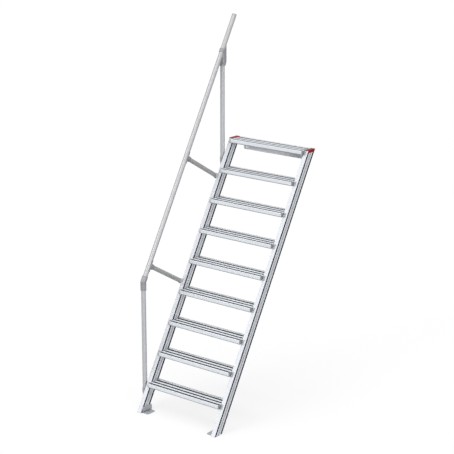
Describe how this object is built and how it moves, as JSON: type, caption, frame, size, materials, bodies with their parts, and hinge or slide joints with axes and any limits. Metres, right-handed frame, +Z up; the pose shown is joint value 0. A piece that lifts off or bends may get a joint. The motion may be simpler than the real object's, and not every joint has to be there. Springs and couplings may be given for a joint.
{
  "type": "industrial stair with one handrail",
  "caption": "Straight open-riser aluminium stair of about sixty degrees, with ribbed treads between two stiles and a strutted tube handrail on the left.",
  "frame": {"origin": "middle of the back face of the fixing rail behind the top tread", "axes": "+X to the right as the stair is climbed, +Y the way it is climbed, out of the fixing face, +Z up"},
  "size_m": [0.932, 1.454, 3.3655],
  "materials": {
    "stile_aluminium": "satin extruded",
    "tread_aluminium": "satin extruded, ribbed",
    "bracket_aluminium": "mill finish",
    "tube_aluminium": "satin drawn tube",
    "cast_connector": "cast, blasted",
    "red_plastic": "moulded",
    "grey_plastic": "moulded"
  },
  "bodies": {
    "root": {"left_stile": "stile_aluminium", "right_stile": "stile_aluminium", "tread_1": "tread_aluminium", "tread_2": "tread_aluminium", "tread_3": "tread_aluminium", "tread_4": "tread_aluminium", "tread_5": "tread_aluminium", "tread_6": "tread_aluminium", "tread_7": "tread_aluminium", "tread_8": "tread_aluminium", "top_tread": "tread_aluminium", "left_tread_brackets": "bracket_aluminium", "right_tread_brackets": "bracket_aluminium", "left_foot_bracket": "bracket_aluminium", "right_foot_bracket": "bracket_aluminium", "fixing_rail": "bracket_aluminium", "lower_strut_bracket": "bracket_aluminium", "upper_strut_bracket": "bracket_aluminium", "lower_post_bracket": "bracket_aluminium", "upper_post_bracket": "bracket_aluminium", "handrail_tube": "tube_aluminium", "lower_post": "tube_aluminium", "upper_post": "tube_aluminium", "lower_strut": "tube_aluminium", "upper_strut": "tube_aluminium", "elbow_connector": "cast_connector", "tee_connector": "cast_connector", "lower_saddle": "cast_connector", "upper_saddle": "cast_connector", "left_stile_cap": "red_plastic", "right_stile_cap": "red_plastic", "handrail_plug": "grey_plastic", "post_plugs": "grey_plastic"}
  },
  "joints": []
}
